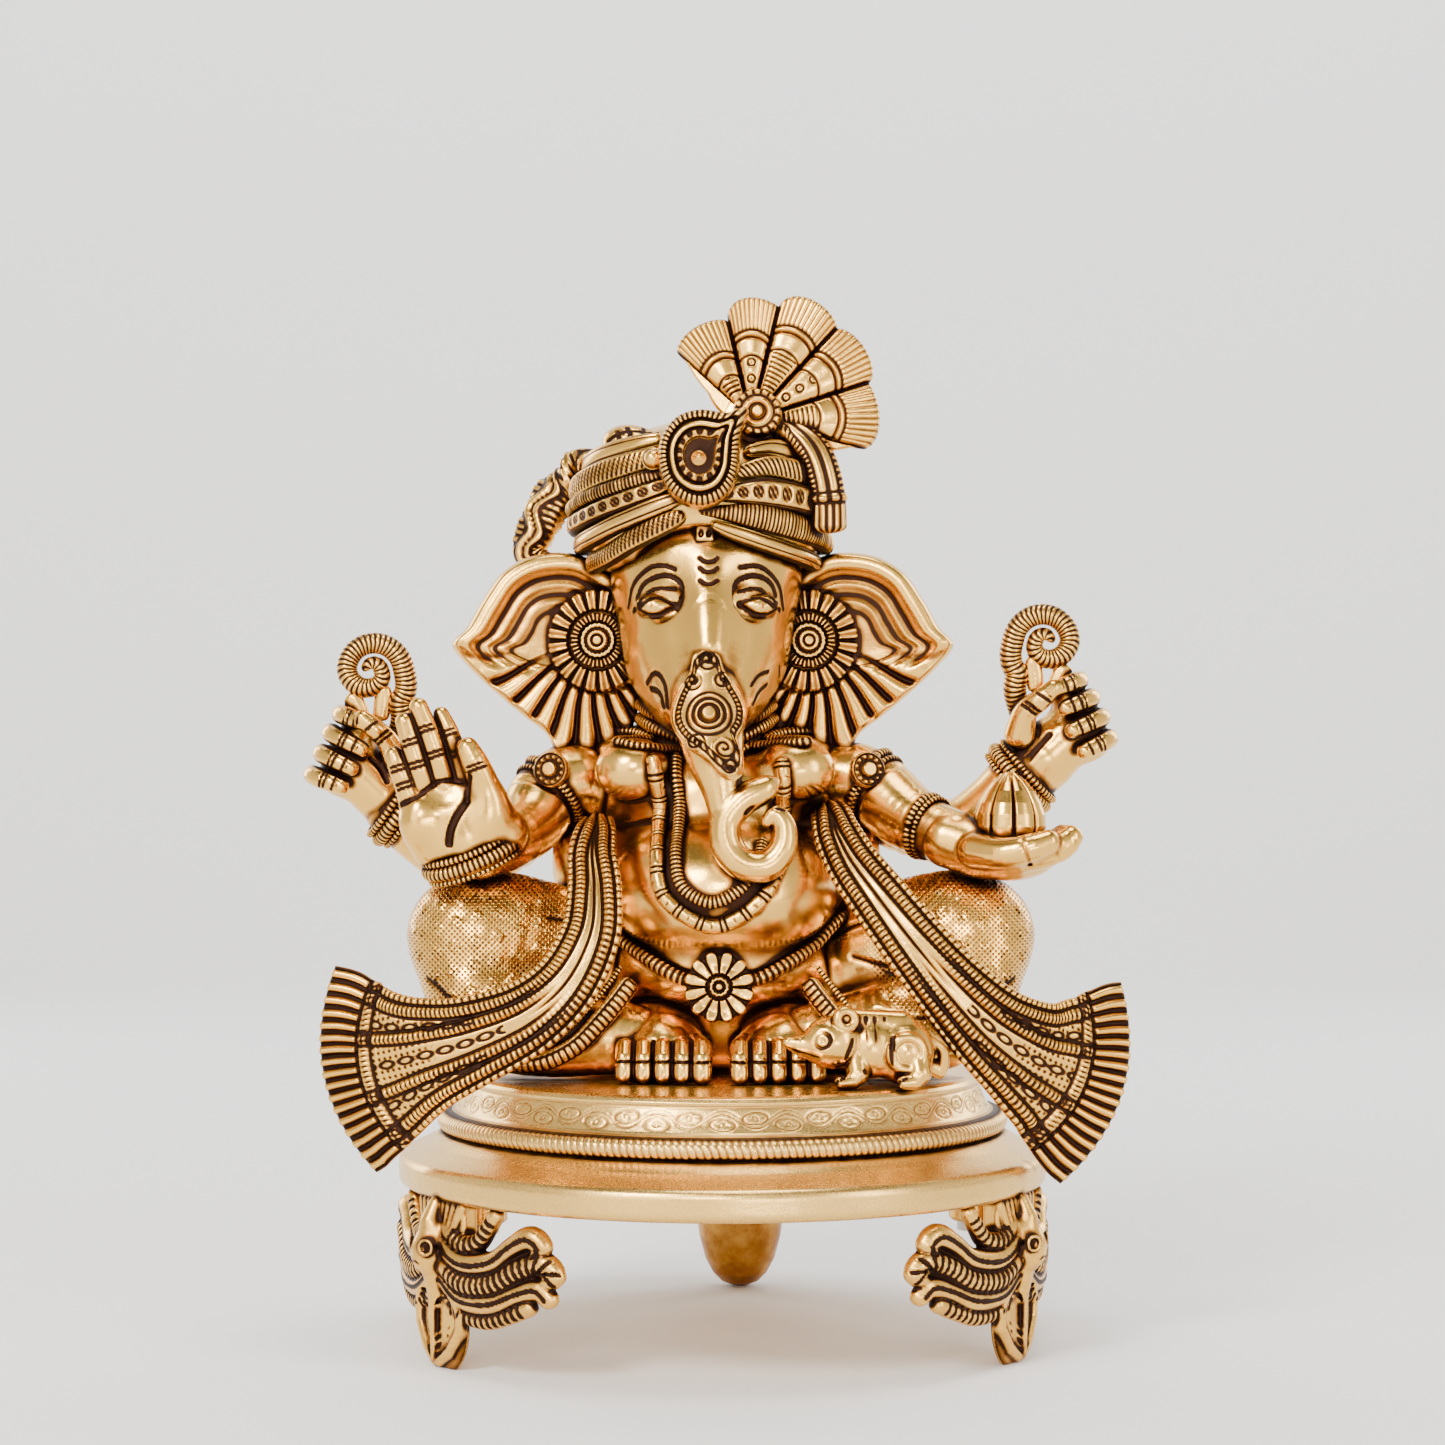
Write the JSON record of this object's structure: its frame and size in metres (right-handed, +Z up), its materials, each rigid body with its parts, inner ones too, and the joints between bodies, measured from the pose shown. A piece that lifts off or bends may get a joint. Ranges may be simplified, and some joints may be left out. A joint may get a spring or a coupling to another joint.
{
  "type": "seated elephant-headed deity figure on a round stool",
  "caption": "Cast brass elephant-headed seated figure with a plumed turban, four arms and flared stole ends, on a round stool with short legs.",
  "frame": {"origin": "on the table plane, under the middle of the round stool", "axes": "+Z up, -Y towards the figure's front, +X towards the figure's left hand (the viewer's right)"},
  "size_m": [0.255, 0.197, 0.3183],
  "materials": {
    "body_brass": "polished with dark antique patina in the recesses",
    "relief_brass": "polished on raised ornament, dark brown patina between",
    "stool_brass": "satin, pale",
    "steel": "zinc-plated"
  },
  "bodies": {
    "root": {"chowki_slab": "stool_brass", "chowki_plinth": "stool_brass", "leg_front_right": "relief_brass", "leg_front_left": "relief_brass", "leg_rear": "relief_brass", "leg_screws": "steel", "figure_bolts": "steel", "body": "body_brass", "right_leg": "body_brass", "left_leg": "body_brass", "right_foot": "body_brass", "left_foot": "body_brass", "head": "body_brass", "trunk": "body_brass", "trunk_ornament": "relief_brass", "right_ear": "body_brass", "left_ear": "body_brass", "right_ear_rosette": "relief_brass", "left_ear_rosette": "relief_brass", "turban": "relief_brass", "turban_tail": "relief_brass", "turban_tassel": "relief_brass", "turban_brooch": "relief_brass", "plume": "body_brass", "plume_rosette": "relief_brass", "right_front_arm": "body_brass", "right_front_hand": "body_brass", "right_rear_arm": "body_brass", "right_rear_hand": "body_brass", "left_front_arm": "body_brass", "left_front_hand": "body_brass", "left_rear_arm": "body_brass", "left_rear_hand": "body_brass", "right_noose": "relief_brass", "left_noose": "relief_brass", "modak": "body_brass", "right_stole": "relief_brass", "left_stole": "relief_brass", "necklace": "relief_brass", "garland": "relief_brass", "sacred_cord": "relief_brass", "belt": "relief_brass", "belt_rosette": "relief_brass", "armlets": "relief_brass", "bracelets": "relief_brass", "anklets": "relief_brass", "dhoti_hems": "relief_brass", "mouse": "body_brass"}
  },
  "joints": []
}
